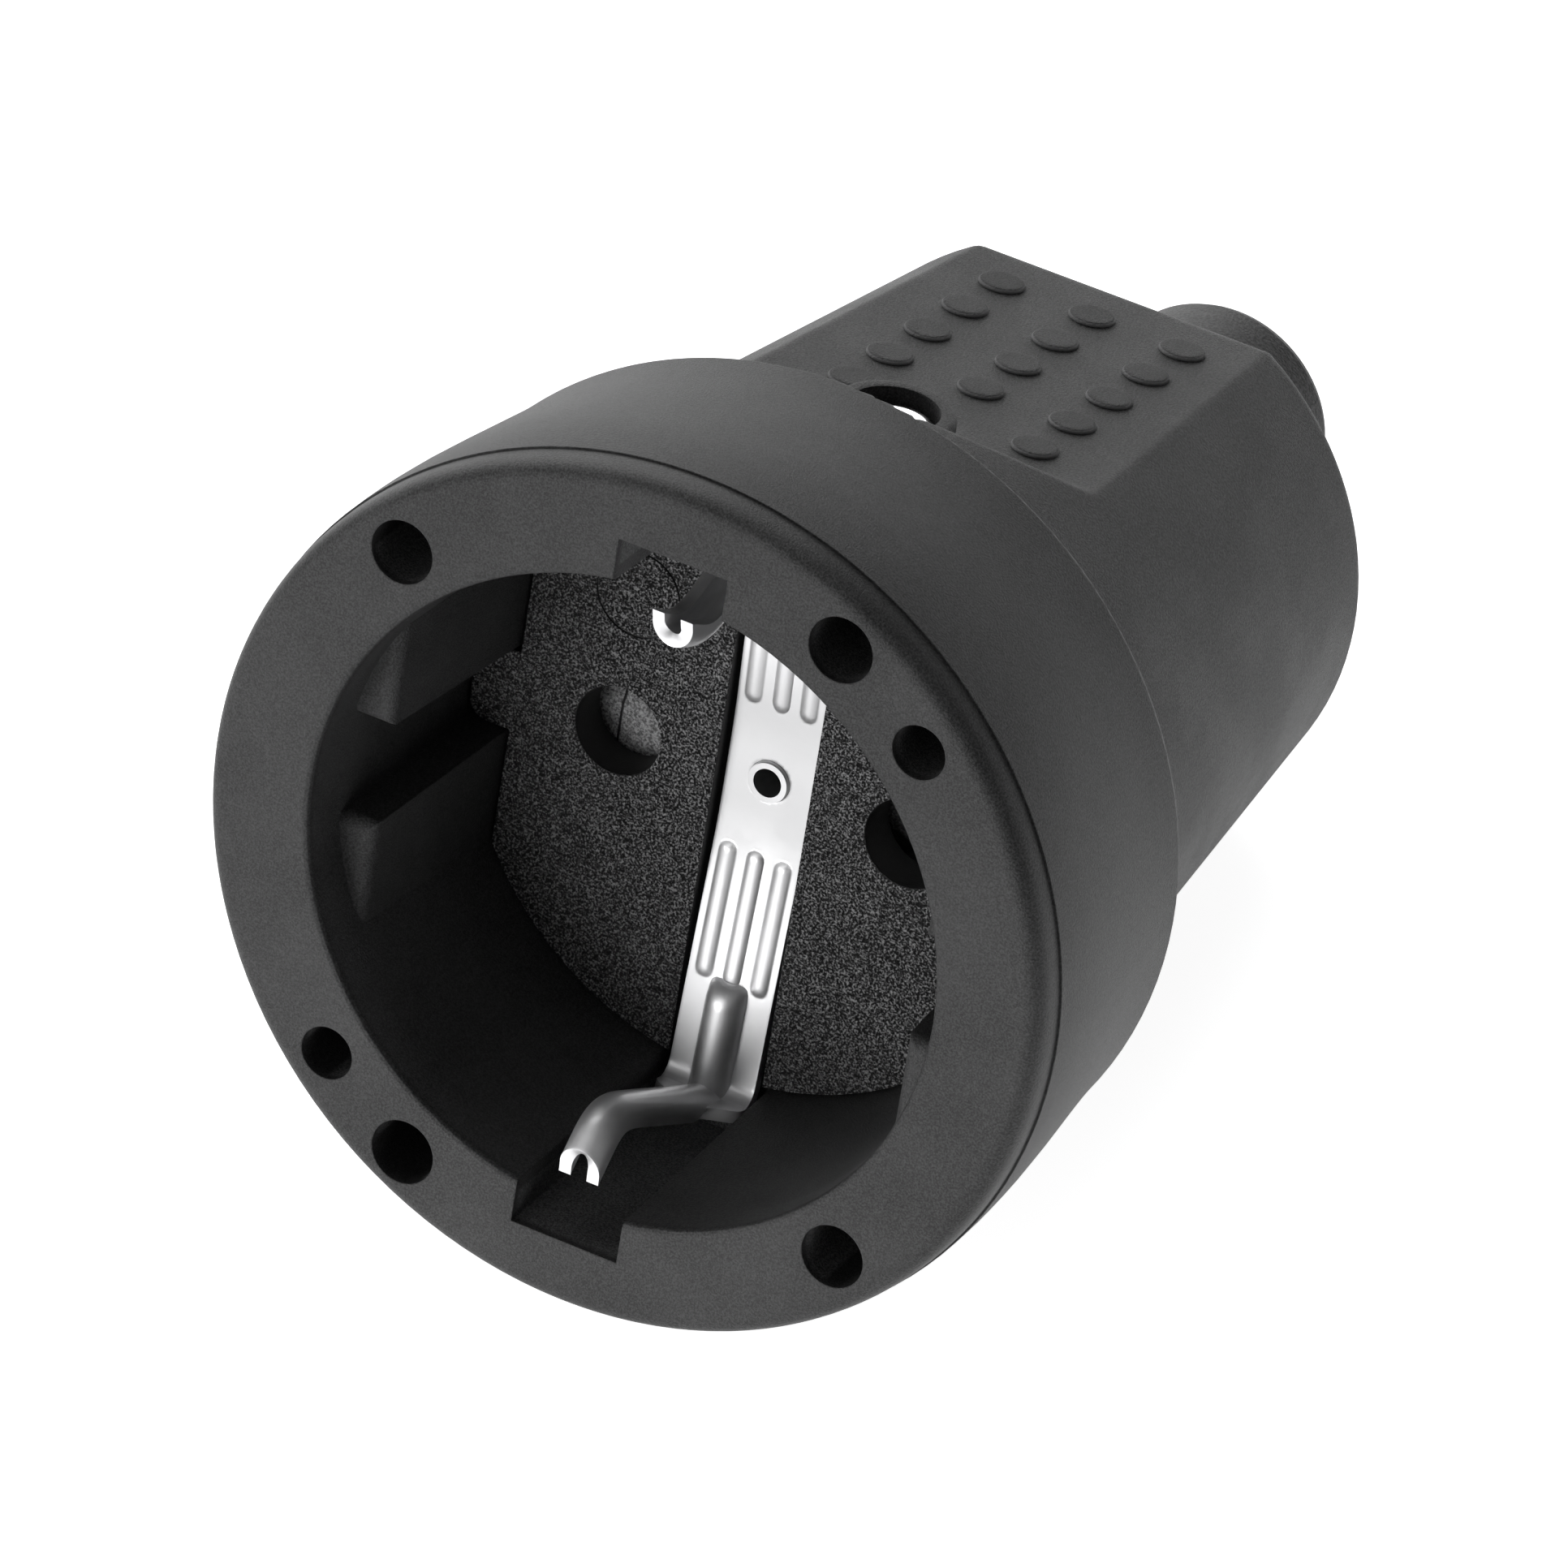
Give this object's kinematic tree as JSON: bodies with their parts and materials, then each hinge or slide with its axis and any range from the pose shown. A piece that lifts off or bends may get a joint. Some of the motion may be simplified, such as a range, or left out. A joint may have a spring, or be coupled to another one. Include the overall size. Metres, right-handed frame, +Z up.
{
  "type": "in-line power socket",
  "caption": "Earthed in-line power socket: round plug recess with sprung side earth clips and a turning pin shutter, on a tapering grip handle with a cable sleeve.",
  "frame": {"origin": "centre of the open front face of the plug recess", "axes": "+Z up and X across, through both pin entries. The socket's own axis lies in the YZ plane and runs to +Y, the cable's side, and down by 14.63 degrees, because the object lies on a table on the rear edges of its collar and of its lower grip flat"},
  "size_m": [0.0536, 0.0831, 0.0552],
  "materials": {
    "shell_plastic": "fine satin black",
    "handle_plastic": "grained black",
    "insert_plastic": "coarse grained black",
    "inner_plastic": "plain moulded, off-white",
    "shutter_plastic": "grained dark grey",
    "sleeve_rubber": "matt black",
    "plated_strap": "bright satin plating",
    "plated_rivet": "bright plating",
    "bright_screw": "bright plating",
    "steel": "zinc plated",
    "spring_steel": "plain spring steel",
    "brass": "plain brass"
  },
  "bodies": {
    "housing": {"front_shell": "shell_plastic", "carrier_front": "insert_plastic", "carrier_rear": "inner_plastic", "rear_cover": "inner_plastic", "cover_screws": "steel", "line_contact_left": "brass", "line_contact_right": "brass", "grip_ring_left": "spring_steel", "grip_ring_right": "spring_steel", "line_terminal_left": "brass", "line_terminal_right": "brass", "earth_terminal": "brass", "terminal_screws": "steel", "earth_strap": "plated_strap", "earth_rivet": "plated_rivet", "earth_link": "brass", "handle": "handle_plastic", "housing_screws": "bright_screw", "housing_nuts": "steel", "clamp_bar": "inner_plastic", "clamp_screws": "steel", "cable_sleeve": "sleeve_rubber"},
    "shutter": {"shutter": "shutter_plastic", "shutter_spring": "spring_steel"}
  },
  "joints": [
    {"name": "shutter_turn", "type": "hinge", "parent": "housing", "child": "shutter", "pos_m": [0, 0.02119, -0.00553], "axis": [0, 0.9676, -0.2526], "range_deg": [0, 38], "stiffness_Nm_per_rad": 0.004}
  ]
}
